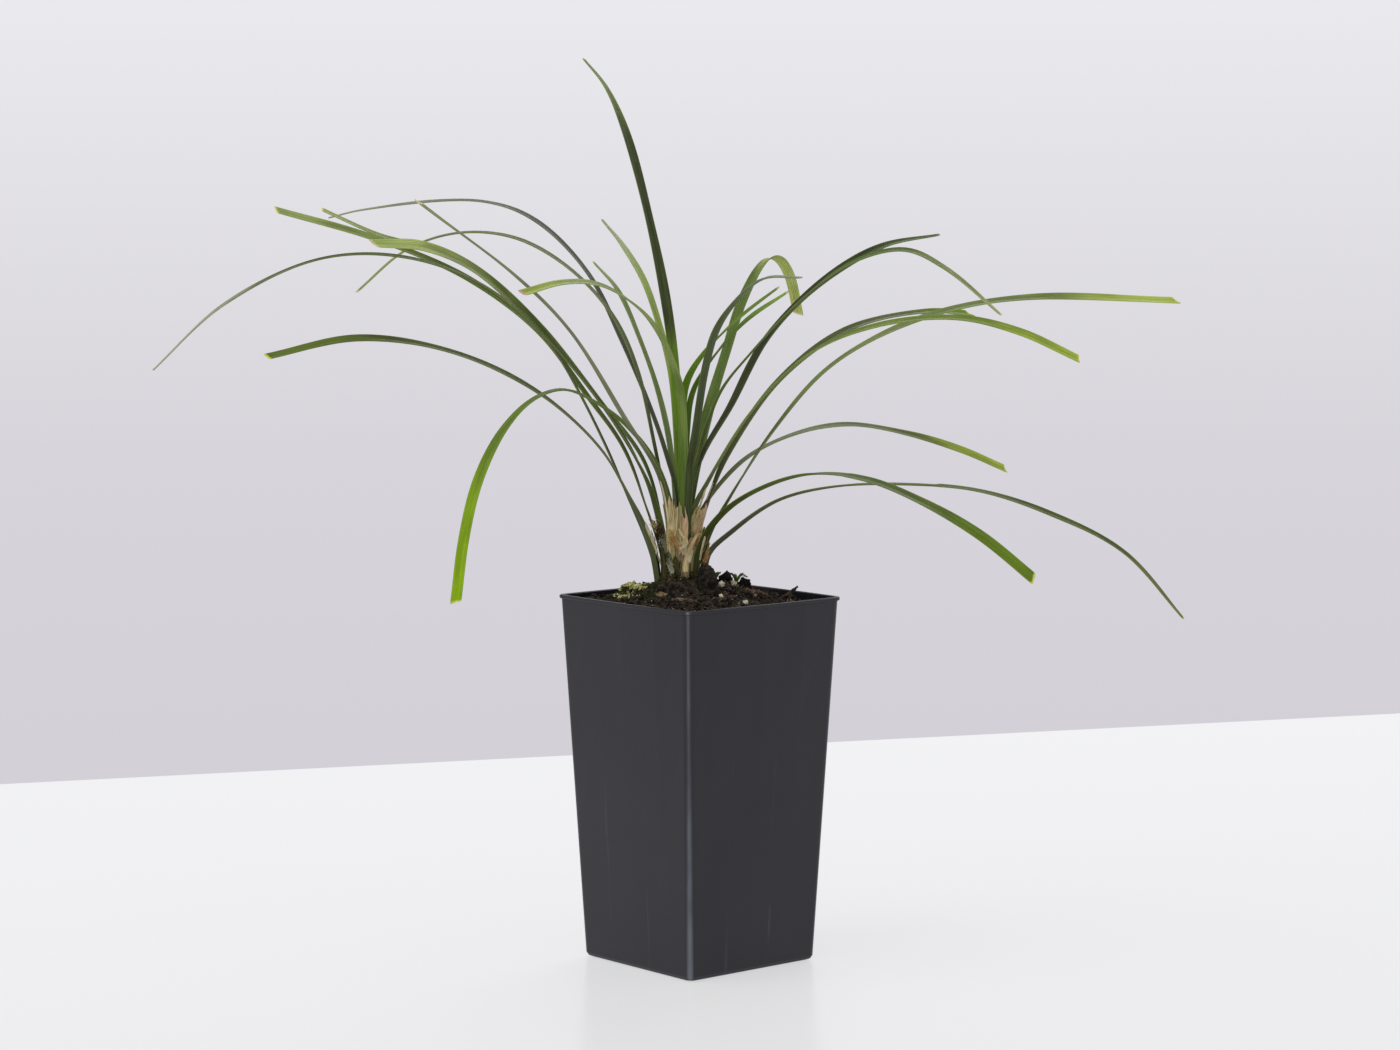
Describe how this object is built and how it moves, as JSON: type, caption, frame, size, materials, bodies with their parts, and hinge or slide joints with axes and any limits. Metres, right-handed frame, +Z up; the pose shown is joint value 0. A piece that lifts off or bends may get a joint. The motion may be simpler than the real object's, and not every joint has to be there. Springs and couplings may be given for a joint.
{
  "type": "potted grass plant",
  "caption": "Square tapered plastic tube pot of potting mix with a clump of narrow arching evergreen leaves growing from a crown of dry papery sheaths.",
  "frame": {"origin": "centre of the pot's underside, on the surface that the pot stands on", "axes": "+Z up; the pot's four sides lie along X and Y; the plant's longest leaves spread along the diagonal from (-X, -Y) to (+X, +Y), and the picture looks at the corner between +X and -Y"},
  "size_m": [0.3079, 0.293, 0.3125],
  "materials": {
    "pot_plastic": "dark charcoal moulded polypropylene, satin, with faint upright flow streaks",
    "soil": "moist bark and peat potting mix, near black and crumbly",
    "leaf": "leathery evergreen blade with fine parallel ribs, dark at the base and yellow-green at the tip",
    "papery_sheath": "dry fibrous leaf sheaths, tan to brown, frayed",
    "bark": "weathered pine bark flakes, brown to mauve-brown, matt",
    "perlite": "expanded white perlite grains, matt and pitted",
    "moss": "low cushion of lime and olive moss",
    "sprout": "pale green weed seedlings"
  },
  "bodies": {
    "root": {"pot": "pot_plastic", "potting_mix": "soil", "crown": "papery_sheath", "leaf_left_1": "leaf", "leaf_left_2": "leaf", "leaf_left_3": "leaf", "leaf_left_4": "leaf", "leaf_left_5": "leaf", "leaf_left_6": "leaf", "leaf_left_7": "leaf", "leaf_left_8": "leaf", "leaf_left_9": "leaf", "leaf_middle_1": "leaf", "leaf_middle_2": "leaf", "leaf_middle_3": "leaf", "leaf_middle_4": "leaf", "leaf_middle_5": "leaf", "leaf_middle_6": "leaf", "leaf_middle_7": "leaf", "leaf_middle_8": "leaf", "leaf_right_1": "leaf", "leaf_right_2": "leaf", "leaf_right_3": "leaf", "leaf_right_4": "leaf", "leaf_right_5": "leaf", "leaf_right_6": "leaf", "leaf_right_7": "leaf", "leaf_right_8": "leaf", "bark_chip_tan": "bark", "bark_chip_flat": "bark", "bark_chip_long": "bark", "bark_chip_jagged_1": "bark", "bark_chip_jagged_2": "bark", "bark_chip_back": "bark", "bark_chip_left": "bark", "soil_lump": "soil", "perlite_1": "perlite", "perlite_2": "perlite", "perlite_3": "perlite", "perlite_4": "perlite", "perlite_5": "perlite", "perlite_6": "perlite", "perlite_7": "perlite", "moss_left": "moss", "moss_right": "moss", "sprout_1": "sprout", "sprout_2": "sprout", "twig": "bark"}
  },
  "joints": []
}
